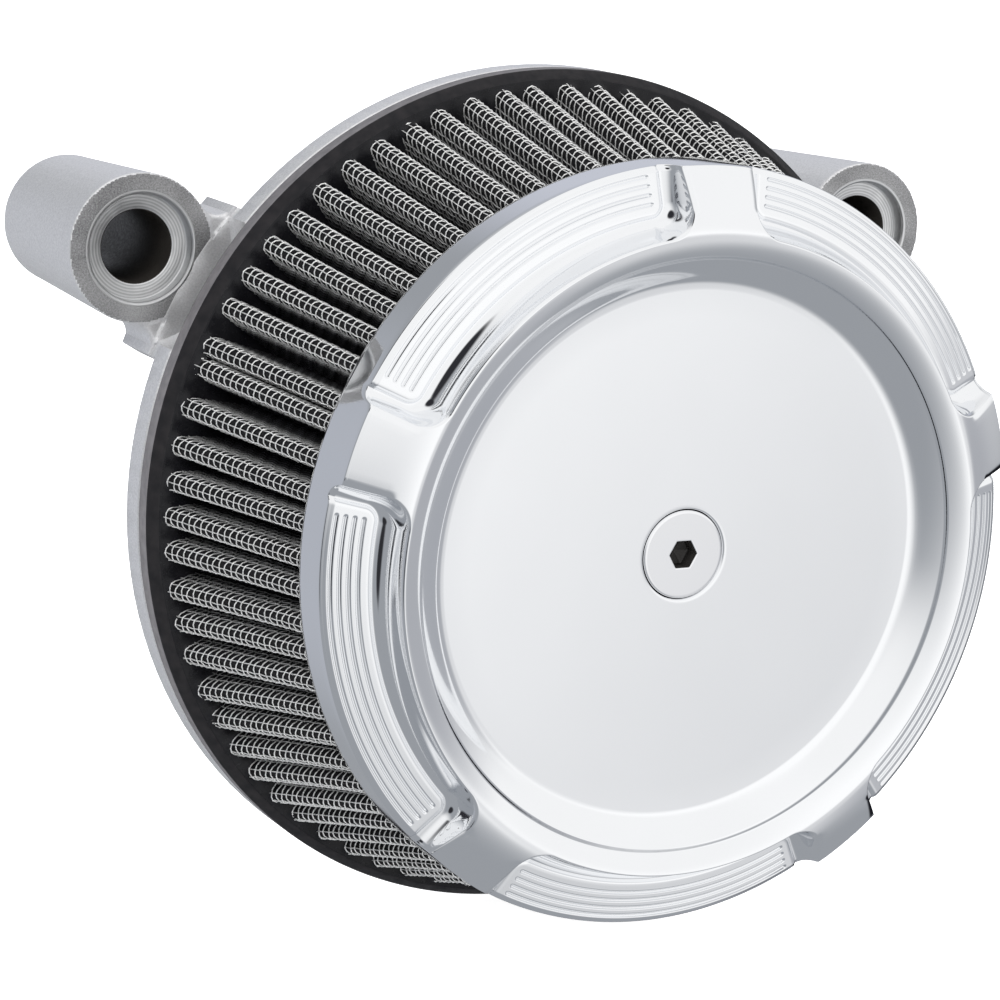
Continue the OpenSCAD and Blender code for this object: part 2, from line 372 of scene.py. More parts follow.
def gauze():
    """Dark oiled cotton: threads along and across, with fluff."""
    mat, nodes, links, shader, coords = new_material("cotton_media")
    shader.inputs["Specular IOR Level"].default_value = 0.12
    fluff = noise(nodes, links, coords, 3.0, 5.0, 0.7)
    colour = tinted(nodes, links, fluff, (0.003, 0.003, 0.0035), (0.010, 0.010, 0.011))
    links.new(colour, shader.inputs["Base Color"])
    links.new(ranged(nodes, links, fluff, 0.7, 0.95), shader.inputs["Roughness"])
    below = None
    for direction in ("Y", "DIAGONAL"):
        wave = nodes.new("ShaderNodeTexWave")
        wave.bands_direction = direction
        wave.inputs["Scale"].default_value = WAVE_PER_PITCH / (THREAD_SPACING * MM)
        wave.inputs["Distortion"].default_value = 1.5
        links.new(coords, wave.inputs["Vector"])
        below = bumped(nodes, links, shader, wave.outputs["Fac"], 0.08, 0.6, below=below)
    bumped(nodes, links, shader, fluff, 0.1, 0.6, below=below)
    return mat


def wire_metal_painted_shade():
    """Bright wire on the crowns, painted darker towards the foot of each pleat: painted shade in the valleys between
    pleats.
    """
    mat, nodes, links, shader, coords = new_material("wire_mesh")
    shader.inputs["Metallic"].default_value = 0.8
    across = nodes.new("ShaderNodeVectorMath")
    across.operation = "MULTIPLY"
    across.inputs[1].default_value = (1, 0, 1)
    links.new(coords, across.inputs[0])
    radius = nodes.new("ShaderNodeVectorMath")
    radius.operation = "LENGTH"
    links.new(across.outputs[0], radius.inputs[0])
    place = nodes.new("ShaderNodeSeparateXYZ")
    links.new(coords, place.inputs[0])
    rear, front = SEAT_Y - CAP_T * MM, SEAT_Y - MEDIA_TOP * MM
    shrink = ranged(nodes, links, place.outputs["Y"], FRONT_SCALE, 1.0, front, rear)
    straight = nodes.new("ShaderNodeMath")
    straight.operation = "DIVIDE"
    links.new(radius.outputs["Value"], straight.inputs[0])
    links.new(shrink, straight.inputs[1])
    # Colour runs from dark at the foot of a pleat to bright on its crown: painted shade deep in the pleat valleys.
    shaded_r, lit_r = CROWN_C - 4.5, CROWN_C + 1.0
    depth = ranged(nodes, links, straight.outputs[0], 0.3, 0.7, shaded_r * MM, lit_r * MM)
    colour = tinted(nodes, links, depth, (0.07, 0.07, 0.075), (0.94, 0.94, 0.93))
    links.new(colour, shader.inputs["Base Color"])
    fine = noise(nodes, links, coords, 2.5, 4.0, 0.6)
    links.new(ranged(nodes, links, fine, 0.22, 0.38), shader.inputs["Roughness"])
    bumped(nodes, links, shader, fine, 0.01, 0.3)
    return mat


def sand_cast():
    """Bare sand casting: coarse light and dark grains."""
    mat, nodes, links, shader, coords = new_material("bare_casting")
    shader.inputs["Metallic"].default_value = 0.7
    grain = noise(nodes, links, coords, 3.4, 6.0, 0.7)
    broad = noise(nodes, links, coords, 0.07, 2.0)
    level = nodes.new("ShaderNodeMath")
    level.operation = "ADD"
    links.new(ranged(nodes, links, grain, 0.15, 0.45), level.inputs[0])
    links.new(ranged(nodes, links, broad, 0.12, 0.32), level.inputs[1])
    colour = tinted(nodes, links, level.outputs[0], (0.05, 0.05, 0.053), (0.38, 0.38, 0.385))
    links.new(colour, shader.inputs["Base Color"])
    links.new(ranged(nodes, links, grain, 0.52, 0.3), shader.inputs["Roughness"])
    bumped(nodes, links, shader, grain, 0.07, 1.0)
    return mat


MATERIALS = {
    "cast_satin": cast_paint(),
    "gasket_fibre": moulded("gasket_fibre", (0.018, 0.018, 0.02), (0.045, 0.043, 0.042), 0.7, 0.9, 1.6, 0.05, 0.3),
    "black_rubber": moulded("black_rubber", (0.010, 0.010, 0.011), (0.018, 0.018, 0.018), 0.42, 0.6, 0.8, 0.02),
    "machined_aluminium": turned_metal("machined_aluminium", (0.62, 0.63, 0.65), (0.80, 0.81, 0.82), (0, 0), 0.3),
    "bracket_steel": metal("bracket_steel", (0.42, 0.42, 0.40), (0.58, 0.58, 0.57), 0.28, 0.42, 1.2, 0.012),
    "nut_brass": turned_metal("nut_brass", (0.50, 0.35, 0.12), (0.72, 0.55, 0.26), (0, 0), 0.25),
    "screw_steel": metal("screw_steel", (0.035, 0.035, 0.038), (0.075, 0.075, 0.08), 0.3, 0.48, 2.0, 0.01),
    "urethane": moulded("urethane", (0.003, 0.003, 0.004), (0.008, 0.008, 0.009), 0.16, 0.32, 0.25, 0.10, 0.18),
    "cotton_media": gauze(),
    "wire_mesh": wire_metal_painted_shade(),
    "cover_chrome": chrome("cover_chrome", (0.90, 0.91, 0.925)),
    "screw_chrome": chrome("screw_chrome", (0.88, 0.885, 0.90)),
}
# Lighter grey copy of the black urethane for the cap's side band: painted sheen, the side band's brightness painted
# into its colour.
CAP_SIDE_SHEEN = moulded("urethane_side_painted_sheen", (0.075, 0.072, 0.077), (0.105, 0.101, 0.107), 0.5, 0.7, 0.5, 0.05, 0.4)
CAP_EDGE = moulded("urethane_edge", (0.006, 0.006, 0.007), (0.012, 0.011, 0.012), 0.4, 0.6, 0.5, 0.05, 0.15)
SOCKET = metal("hex_socket", (0.018, 0.017, 0.016), (0.045, 0.042, 0.040), 0.3, 0.5, 3.0, 0.02, 0.5, 0.6)
# Near-black copy of the machined metal for the deep wall of each bore: painted shade inside the hole.
BORE_SHADE = metal("bore_painted_shade", (0.012, 0.011, 0.010), (0.030, 0.027, 0.024), 0.35, 0.6, 2.0, 0.03, 0.6, 0.5)
BARE_CASTING = sand_cast()
BORE_METAL = {
    name: turned_metal(f"machined_{name}_bore", (0.52, 0.525, 0.53), (0.74, 0.745, 0.75),
                       (side * BOSS_X, BOSS_Z), 0.55, (0.30, 0.46))
    for name, side in (("left", -1), ("right", 1))
}


# ----------------------------------------------------------------------- cover

POCKETS = 5
POCKET_HALF = math.radians(30)
COVER_TURN = math.radians(-1.7)
WALL_R = 57.0
CORNER_R = 5.0
PAD_EDGE = 54.1
PAD_SLOPE = 0.25
COVE_W = 2.7
MOAT_D = 0.75
PAD_ROUND = 1.0
GROOVES = 4
GROOVE_INSET = 1.55
GROOVE_PITCH = 1.53
GROOVE_HALF_W = 0.43
GROOVE_D = 0.48
GROOVE_END = math.radians(25.4)
DISC_TOP = 56.8
DISC_R = 47.8
INSIDE_TOP = ELEMENT_LEN + 0.3
SKIRT_IN_R = COVER_R - 2.3
HUB_R = 9.0
HUB_BACK = 47.9
CREST_R = 57.0
RIM_EDGE = 57.2
LAND_BEND = 1.35
DISH_BEND = 1.32
HEAD_SEAT_R = 8.12
SCREW_HOLE_R = 4.4
SCREW_HOLE_TOP = 52.0
# Rows of the face: each band's outer and inner radius and spacing, then the flat disc's inner radii
EDGE_ROUND = 0.45
FACE_BANDS = ((COVER_R - EDGE_ROUND, 61.4, 0.13), (61.4, 56.5, 0.16), (56.5, 52.8, 0.37), (52.8, 46.6, 0.5))
DISC_ROWS_IN, DISC_LAST_R = 8.9, 8.6
# Columns over a pocket's end: how far they run either side of it, and their spacing
END_BEFORE, END_AFTER, END_STEP = (math.radians(a) for a in (5.6, 0.3, 0.165))


def softened(values, step, spread):
    """The values blurred by a bell curve, which rounds a section's corners."""
    reach = int(4 * spread / step)
    kernel = np.exp(-(np.arange(-reach, reach + 1) * step / spread) ** 2 / 2)
    return np.convolve(np.pad(values, reach, mode="edge"), kernel / kernel.sum(), mode="valid")


def land_height(r):
    """Section through a land at each radius: flat disc, rising dish, rounded crest, and the fall to the rim."""
    fine = np.arange(0, COVER_R + 3, 0.05)
    crest = CREST_TOP - 0.08
    rise = np.clip((fine - DISC_R) / (CREST_R - DISC_R), 0, 1)
    fall = np.clip((fine - CREST_R) / (COVER_R - CREST_R), 0, 1.4)
    dish = (crest - DISC_TOP) * (1 - (1 - rise) ** DISH_BEND)
    height = DISC_TOP + dish - (crest - RIM_EDGE) * fall ** LAND_BEND
    return np.interp(r, fine, softened(height, 0.05, 0.65))


# Section across a pocket's edge, by distance inside it: the wall down from the land, and the pad's rise
STEP_AT = np.arange(-2, 9, 0.02)
WALL_SHARE = softened(1 - np.sqrt(1 - (1 - np.clip(STEP_AT / COVE_W, 0, 1)) ** 2), 0.02, 0.16)
RISE_SHARE = softened(np.sqrt(1 - (1 - np.clip((STEP_AT - COVE_W) / PAD_ROUND, 0, 1)) ** 2), 0.02, 0.10)


def cover_height(r, angle):
    """Height of the cover's face: lands, and pockets that each hold a raised, grooved pad."""
    step = TAU / POCKETS
    off = (angle + math.pi / 2 - COVER_TURN + step / 2) % step - step / 2
    land = land_height(r)
    pad = PAD_EDGE + PAD_SLOPE * (COVER_R - r)
    from_wall = r - WALL_R
    from_end = (POCKET_HALF - np.abs(off)) * r
    corner = CORNER_R - np.hypot(np.maximum(CORNER_R - from_wall, 0), np.maximum(CORNER_R - from_end, 0))
    in_corner = (from_wall < CORNER_R) & (from_end < CORNER_R)
    inside = np.where(in_corner, corner, np.minimum(from_wall, from_end))
    moat = pad - MOAT_D
    wall, rise = np.interp(inside, STEP_AT, WALL_SHARE), np.interp(inside, STEP_AT, RISE_SHARE)
    floor = moat + MOAT_D * rise
    for i in range(GROOVES):
        r_groove = COVER_R - GROOVE_INSET - i * GROOVE_PITCH
        beyond = np.maximum(np.abs(off) - GROOVE_END, 0) * r_groove
        across = np.minimum(np.hypot(r - r_groove, beyond) / GROOVE_HALF_W, 1)
        wall_at = np.clip((across - 0.3) / 0.6, 0, 1)
        floor = floor - GROOVE_D * (1 - wall_at ** 2 * (3 - 2 * wall_at))
    # narrow bevel along the pad's outer edge
    floor = floor - np.clip(r - (COVER_R - 0.9), 0, None) * 0.7
    return floor + (land - floor) * wall


def cover_angles():
    """Columns, closer together over the ends of the pockets."""
    step = TAU / POCKETS
    half, land_half = POCKET_HALF, step / 2
    ends = np.arange(half - END_BEFORE, half + END_AFTER, END_STEP)
    middle = np.linspace(0, ends[0], 27)[:-1]
    land = np.linspace(ends[-1], land_half, 6)[1:]
    right = np.concatenate([middle, ends, land])
    left = -right[1:-1][::-1]
    one = np.concatenate([left, right])
    return np.concatenate([one + k * step - math.pi / 2 + COVER_TURN for k in range(POCKETS)])


def build_cover():
    angles = cover_angles()
    ones = np.ones_like(angles)
    rows = []
    edge = cover_height((COVER_R - EDGE_ROUND) * ones, angles)
    for r, drop in ((COVER_R, 2.2), (COVER_R, 0.5), (COVER_R - 0.05, 0.28), (COVER_R - 0.2, 0.08)):
        rows.append((r * ones, edge - drop))
    bands = [np.arange(outer, inner, -spacing) for outer, inner, spacing in FACE_BANDS]
    for r in np.concatenate([*bands, np.linspace(FACE_BANDS[-1][1], DISC_ROWS_IN, 9), [DISC_LAST_R]]):
        rows.append((r * ones, cover_height(r * ones, angles)))
    inside = (
        # countersink and screw hole
        (HEAD_SEAT_R + 0.3, DISC_TOP - 0.02), (HEAD_SEAT_R + 0.08, DISC_TOP - 0.1),
        (HEAD_SEAT_R, DISC_TOP - 0.25), (HEAD_SEAT_R - 0.3, DISC_TOP - 0.55),
        (SCREW_HOLE_R + 0.2, SCREW_HOLE_TOP + 0.3), (SCREW_HOLE_R, SCREW_HOLE_TOP),
        (SCREW_HOLE_R, HUB_BACK + 0.2), (SCREW_HOLE_R + 0.2, HUB_BACK),
        # hub
        (HUB_R - 0.3, HUB_BACK), (HUB_R, HUB_BACK + 0.3), (HUB_R, INSIDE_TOP - 0.8),
        (HUB_R + 0.25, INSIDE_TOP - 0.2), (HUB_R + 0.8, INSIDE_TOP),
        # skirt
        (SKIRT_IN_R - 0.8, INSIDE_TOP), (SKIRT_IN_R - 0.2, INSIDE_TOP - 0.25), (SKIRT_IN_R, INSIDE_TOP - 0.8),
        (SKIRT_IN_R, COVER_BACK + 0.35), (SKIRT_IN_R + 0.15, COVER_BACK + 0.08),
        (SKIRT_IN_R + 0.35, COVER_BACK), (COVER_R - 0.35, COVER_BACK), (COVER_R - 0.1, COVER_BACK + 0.1),
        (COVER_R, COVER_BACK + 0.35), (COVER_R, COVER_BACK + 1.2))
    rows += [(r * ones, f * ones) for r, f in inside]
    verts, faces = revolve(rows, angles)
    add_mesh("cover_shell", verts, faces, "cover", "cover_chrome", ["cover"])


# ---------------------------------------------------------------------- screws

SOCKET_AF = 4.76
THREAD_DEPTH = 0.55
COVER_PITCH = 1.411
THROTTLE_PITCH = 1.27
HEAD_R, HEAD_CONE = 7.92, math.radians(41)
SCREW_CIRCLE = 34.0
WASHER_TOP = 40.6
THROTTLE_SCREW_LEN = 63.5
THROTTLE_HEAD = 6.35
KNURLS = 36


def thread_rows(r_major, depth, pitch, f0, f1, angles, per_turn=6):
    """Rows of a helical thread from f0 up to f1, fading out at the start."""
    rows = []
    for f in np.arange(f0, f1, pitch / per_turn):
        phase = (f / pitch - angles / TAU) % 1
        cut = depth * np.clip(np.abs(phase - 0.5) * 2.6 - 0.2, 0, 1)
        taper = depth * max(0, 1 - (f - f0) / (1.2 * pitch))
        rows.append((r_major - np.maximum(cut, taper), f))
    return rows


def socket_rows(angles, af, top, depth, mouth_r):
    """Rows down into a hexagon socket from the head's flat top."""
    hexagon = hex_radius(angles, af)
    return [(np.maximum(hexagon + 0.3, mouth_r + 0.15), top), (np.maximum(hexagon + 0.12, mouth_r), top),
            (hexagon + 0.03, top - 0.06), (hexagon, top - 0.15), (hexagon, top - depth),
            (hexagon * 0.93, top - depth - 0.15), (0.02, top - depth - 0.7)]


def build_cover_screw():
    angles = circle_angles(72)
    screw_r, tip = 3.94, DISC_TOP - 20.0
    neck = DISC_TOP - (8.0 - 3.96) / math.tan(HEAD_CONE)
    rows = [(0.02, tip)] + thread_rows(screw_r, THREAD_DEPTH, COVER_PITCH, tip, neck - 1.2, angles)
    rows += [(screw_r - 0.12, neck - 1.1), (screw_r - 0.12, neck - 0.1), (screw_r, neck + 0.1),
             (HEAD_R - 0.22, DISC_TOP - 0.45), (HEAD_R - 0.05, DISC_TOP - 0.32), (HEAD_R - 0.08, DISC_TOP - 0.16),
             (HEAD_R - 0.26, DISC_TOP - 0.04), (HEAD_R - 0.5, DISC_TOP), (HEAD_R - 0.65, DISC_TOP)]
    rows += socket_rows(angles, SOCKET_AF, DISC_TOP, 2.9, 0)
    verts, faces = revolve(rows, angles, close_rows=False)
    obj = add_mesh("flat_head_screw", verts, faces, "screw", "screw_chrome", ["cover_screw"], sharp_deg=50)
    paint_where(obj, SOCKET, lambda x, up, f, n:
                (np.hypot(x, up) < 2.85) & (f < DISC_TOP - 0.12) & (f > DISC_TOP - 4))


def build_throttle_screws():
    angles = circle_angles(72)
    knurl = 0.12 * (0.5 + 0.5 * np.cos(angles * KNURLS))
    tip, seat, top = WASHER_TOP - THROTTLE_SCREW_LEN, WASHER_TOP, WASHER_TOP + THROTTLE_HEAD
    parts = []
    for k in range(3):
        turn = math.radians(90 + 120 * k)
        centre = (SCREW_CIRCLE * math.cos(turn), SCREW_CIRCLE * math.sin(turn))
        rows = [(0.02, tip)] + thread_rows(3.1, THREAD_DEPTH, THROTTLE_PITCH, tip, -11.2, angles)
        rows += [(2.8, -10.8), (2.8, seat - 0.2), (3.1, seat), (4.4, seat), (4.66, seat + 0.2),
                 (4.72 - knurl, seat + 0.5), (4.72 - knurl, seat + 5.5), (4.62, seat + 5.9),
                 (4.35, seat + 6.25), (4.1, top)]
        rows += socket_rows(angles, SOCKET_AF, top, 3.0, 2.9)
        parts.append(revolve(rows, angles, centre, close_rows=False))
    verts, faces = joined(parts)
    add_mesh("socket_head_screws", verts, faces, "mount", "screw_steel", ["throttle_screws"], sharp_deg=45)


# --------------------------------------------------------------------- element

crown_angle = np.arange(PLEATS) * TAU / PLEATS + rng.uniform(-1, 1, PLEATS) * math.radians(0.3)
crown_angle[SEAM_PLEAT] += math.radians(1.1)
crown_angle[SEAM_PLEAT + 1] -= math.radians(0.6)
crown_sink = rng.uniform(0, 0.35, PLEATS)
crown_twist = rng.uniform(-1, 1, PLEATS) * math.radians(0.35)
crown_sink[SEAM_PLEAT] += 0.5


def crown_at(k, t):
    """Angle and radius of a crown's centre line, where t runs from 0 at the rear to 1 at the front."""
    turns, k = k // PLEATS, k % PLEATS
    bow = np.sin(math.pi * t)
    return crown_angle[k] + turns * TAU + crown_twist[k] * (t - 0.5), CROWN_C - crown_sink[k] * bow


def taper(t):
    return 1 + (FRONT_SCALE - 1) * t


def station(k, kind, value, t, offset):
    """Point and outward direction on the pleated sheet, at the rear's scale, for pleat k.

    It is on the crown at angle value, on the flank after or before it at a share value of its length, or in
    the middle of the foot after it.
    """
    def turned(angle, x, y):
        return np.array([x * np.cos(angle) - y * np.sin(angle), x * np.sin(angle) + y * np.cos(angle)])
    angle, centre = crown_at(k, t)
    r_crown = CROWN_TIP + offset
    if kind == "crown":
        return (turned(angle, centre + r_crown * np.cos(value), r_crown * np.sin(value)),
                turned(angle, np.cos(value) + 0 * t, np.sin(value) + 0 * t))
    side = -1 if kind == "before" else 1
    next_angle, _ = crown_at(k + side, t)
    foot_angle = (angle + next_angle) / 2
    r_foot = FOOT_TIP - offset
    if kind == "foot":
        return turned(foot_angle, FOOT_C - r_foot + 0 * t, 0 * t), turned(foot_angle, 1 + 0 * t, 0 * t)
    top, top_n = turned(angle, centre, side * r_crown), turned(angle, 0 * t, side + 0 * t)
    low, low_n = turned(foot_angle, FOOT_C + 0 * t, -side * r_foot), turned(foot_angle, 0 * t, side + 0 * t)
    normal = top_n + (low_n - top_n) * value
    return top + (low - top) * value, normal / np.linalg.norm(normal, axis=0)


def sheet_points(stations, t, offsets):
    """Row-frame points and outward directions of (pleat, kind, value) stations: arrays (stations, len(t), 3)."""
    points, normals = [], []
    scale = taper(t)
    forward = CAP_T + (MEDIA_TOP - CAP_T) * t
    for (k, kind, value), offset in zip(stations, offsets):
        p, n = station(k, kind, value, t, offset)
        points.append(to_row(p[0] * scale, p[1] * scale, forward))
        normals.append(np.stack([n[0], 0 * t, n[1]], -1))
    return np.array(points), np.array(normals)


def build_media():
    """The cotton sheet, as one closed pleated wall with rounded crowns and feet."""
    crown = [math.radians(a) for a in (-90, -60, -30, 0, 30, 60, 90)]
    t = np.linspace(0, 1, 15)
    walls = []
    for offset in (MEDIA_HALF, -MEDIA_HALF):
        stations = []
        for k in range(PLEATS):
            stations += [(k, "crown", a) for a in crown]
            stations += [(k, "after", 1.0), (k, "foot", 0), (k + 1, "before", 1.0)]
        points, _ = sheet_points(stations, t, [offset] * len(stations))
        walls.append(points)
    cols = len(walls[0])
    rows = np.concatenate([walls[0].transpose(1, 0, 2), walls[1].transpose(1, 0, 2)[::-1]])
    verts = rows.reshape(-1, 3)
    faces = grid_faces(len(rows), cols, True, True)
    add_mesh("pleated_gauze", verts, faces, "element", "cotton_media", ["filter_media"], fix_normals=True)


def tubes(points, normals, radius, sides=3):
    """Open tubes along several equally long paths."""
    tangents = np.gradient(points, axis=1)
    tangents /= np.linalg.norm(tangents, axis=-1, keepdims=True)
    across = np.cross(tangents, normals)
    across /= np.linalg.norm(across, axis=-1, keepdims=True)
    up = np.cross(across, tangents)
    a = np.arange(sides) * TAU / sides
    ring = points[:, :, None] + radius * (np.cos(a)[:, None] * up[:, :, None] + np.sin(a)[:, None] * across[:, :, None])
    paths, count = points.shape[:2]
    one = grid_faces(count, sides, False, True)
    faces = (one[None] + (np.arange(paths) * count * sides)[:, None, None]).reshape(-1, 4)
    return ring.reshape(-1, 3), faces


# Angles of the stations over a crown, and those where an axial wire crosses
CROWN_STOPS = (-78, -52, -26, 0, 26, 52, 78)
CROSSED = (-52, 0, 52)
# Share of the flank beyond which axial wires are coarser, and the axial wires' thickness beside the hoops'
DEEP_FLANK = 0.34
AXIAL_SHARE = 0.92
FLANK_LEN = CROWN_C - FOOT_C
FLANK_STOPS = [(0.95 + 1.4 * i) / FLANK_LEN for i in range(8)]
CROSSINGS = len(CROSSED) + 2 * len(FLANK_STOPS)


def pleat_stations(k):
    """Stations round one pleat, each with its crossing number, or None where no axial wire crosses."""
    found, number = [], 0
    for a in CROWN_STOPS:
        crossing = number if a in CROSSED else None
        number += a in CROSSED
        found.append(((k, "crown", math.radians(a)), crossing))
    for s in FLANK_STOPS:
        found.append(((k, "after", s), number))
        number += 1
    found.append(((k, "foot", 0), None))
    for s in reversed(FLANK_STOPS):
        found.append(((k + 1, "before", s), number))
        number += 1
    return [(st, None if c is None else c + CROSSINGS * k) for st, c in found]


def build_wire_mesh(name, node, side, sectors, fine):
    """Woven wire over one side of the gauze: hoops that follow the pleats, and axial wires over and under."""
    hoops = int((MEDIA_TOP - CAP_T - 0.6) / HOOP_PITCH)
    hoop_t = np.linspace(0.012, 0.985, hoops)
    for s in range(sectors):
        first, last = PLEATS * s // sectors, PLEATS * (s + 1) // sectors
        stations = [x for k in range(first, last) for x in pleat_stations(k)]
        round_the_end = stations + pleat_stations(last)[:1]
        parts = []
        sign = np.array([0 if c is None else (-1) ** c for _, c in round_the_end])
        offsets = [side * WIRE_OFFSET] * len(round_the_end)
        base, normals = sheet_points([st for st, _ in round_the_end], hoop_t, offsets)
        flip = (-1.0) ** np.arange(hoops)
        waved = base + normals * (sign[:, None] * flip[None, :] * WEAVE * MM)[:, :, None]
        parts.append(tubes(waved.transpose(1, 0, 2), normals.transpose(1, 0, 2), WIRE_R * MM))
        for deep in (False, True):
            chosen = [(st, c) for st, c in stations
                      if c is not None and (st[1] != "crown" and st[2] > DEEP_FLANK) == deep]
            t, wave = hoop_t, flip
            if fine and not deep:
                t = np.interp(np.arange(2 * hoops - 1) / 2, np.arange(hoops), hoop_t)
                wave = np.zeros(len(t))
                wave[::2] = flip
            t = np.concatenate([[-0.004], t, [0.998]])
            wave = np.concatenate([[0], wave, [0]])
            offsets = [side * WIRE_OFFSET] * len(chosen)
            base, normals = sheet_points([st for st, _ in chosen], t, offsets)
            sign = np.array([(-1) ** c for _, c in chosen])
            waved = base - normals * (sign[:, None] * wave[None, :] * WEAVE * MM)[:, :, None]
            parts.append(tubes(waved, normals, WIRE_R * AXIAL_SHARE * MM))
        verts, faces = joined(parts)
        add_mesh(f"{name}_{s + 1}", verts, faces, "element", "wire_mesh", [node])


REAR_CAP_IN_R = 57.5
# The urethane that wets each crown: reach from the crown's centre, height, and the width it fades over
WET_REACH, WET_CLIMB, WET_FADE = 1.35, 0.85, 0.7


def build_rear_cap():
    """Moulded ring whose top face climbs a little round the foot of each pleat."""
    cols_per_pleat = 14
    angles = circle_angles(PLEATS * cols_per_pleat)
    inner_r = REAR_CAP_IN_R
    nearest = np.full(len(angles), 9.0)
    for k in range(PLEATS):
        off = (angles - crown_at(k, 0.0)[0] + math.pi) % TAU - math.pi
        nearest = np.where(np.abs(off) < np.abs(nearest), off, nearest)
    phase = np.repeat(rng.uniform(0.6, 1.25, PLEATS), cols_per_pleat)
    ripple = 0.12 * np.sin(angles * 23) + 0.1 * np.sin(angles * 41 + 1)
    rows = [(inner_r, 0.3), (inner_r + 0.3, 0), (CAP_R - 0.35, 0), (CAP_R - 0.08, 0.1), (CAP_R, 0.4), (CAP_R, 3.2),
            (CAP_R - 0.08, 3.5), (CAP_R - 0.3, 3.85), (CAP_R - 1.45, 5.25), (CAP_R - 1.75, 5.52)]
    for r in np.arange(CAP_R - 2.1, inner_r + 0.4, -0.42):
        side = np.abs(nearest) * r
        beyond = max(r - CROWN_C, 0)
        gap = np.maximum(np.hypot(beyond, side) - WET_REACH, 0)
        climb = WET_CLIMB * phase * np.exp(-gap / WET_FADE) * (1 + ripple)
        fade = min(1, (CAP_R - 2.1 - r) / 0.8)
        if r < FOOT_C - 3:
            climb = climb * max(0, 1 - (FOOT_C - 3 - r) / 2)
        rows.append((r, CAP_T - 0.05 + (climb + 0.06 * ripple) * fade))
    rows += [(inner_r + 0.2, CAP_T - 0.1), (inner_r, CAP_T - 0.4)]
    verts, faces = revolve(rows, angles)
    obj = add_mesh("rear_cap_moulding", verts, faces, "element", "urethane", ["rear_end_cap"])
    # The side band takes the lighter grey copy, which is painted sheen.
    paint_where(obj, CAP_SIDE_SHEEN, lambda x, up, f, n: (np.hypot(x, up) > CAP_R - 0.2) & (f < 3.6))
    paint_where(obj, CAP_EDGE, lambda x, up, f, n: (np.hypot(x, up) > CAP_R - 1.8) & (f >= 3.6) & (f < 5.5))


def build_front_cap():
    r_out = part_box("front_end_cap")[1].x / MM
    inner_r = 50.0
    profile = rounded_profile([(inner_r, MEDIA_TOP), (r_out, MEDIA_TOP), (r_out, ELEMENT_LEN - 1.2),
                               (r_out - 1.2, ELEMENT_LEN), (inner_r, ELEMENT_LEN)], 0.5)
    verts, faces = revolve(profile, circle_angles(240))
    add_mesh("front_cap_moulding", verts, faces, "element", "urethane", ["front_end_cap"])


# --------------------------------------------------------------- backing plate

CAST_VOXEL = 0.37
BARE_FACE_R = 13.3
BORE_R = 6.6
COUNTERBORE_R = 9.7
COUNTERBORE_D = 2.5


def cylinder_cutter(r, f0, f1, centre=(0, 0), n=512):
    verts, faces = revolve([(r, f0), (r, f1)], circle_angles(n), centre, close_rows=False)
    return add_object("cutter", make_mesh("cutter", verts, faces, True))


def cut(obj, cutters, operation):
    for cutter in cutters:
        mod = obj.modifiers.new("cut", "BOOLEAN")
        mod.solver, mod.operation, mod.object = "EXACT", operation, cutter
    apply_modifiers(obj)
    for cutter in cutters:
        bpy.data.objects.remove(cutter)


def copy_of(node, name):
    obj = add_object(name, frame["nodes"][node].data.copy())
    bm = bmesh.new()
    bm.from_mesh(obj.data)
    bmesh.ops.remove_doubles(bm, verts=bm.verts, dist=2e-6)
    bm.to_mesh(obj.data)
    bm.free()
    return obj


def finish_copy(obj, material, body, node, sharp_deg=None):
    repaint(obj, material)
    shade_smooth(obj.data, sharp_deg)
    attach(obj, body)
    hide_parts(node)


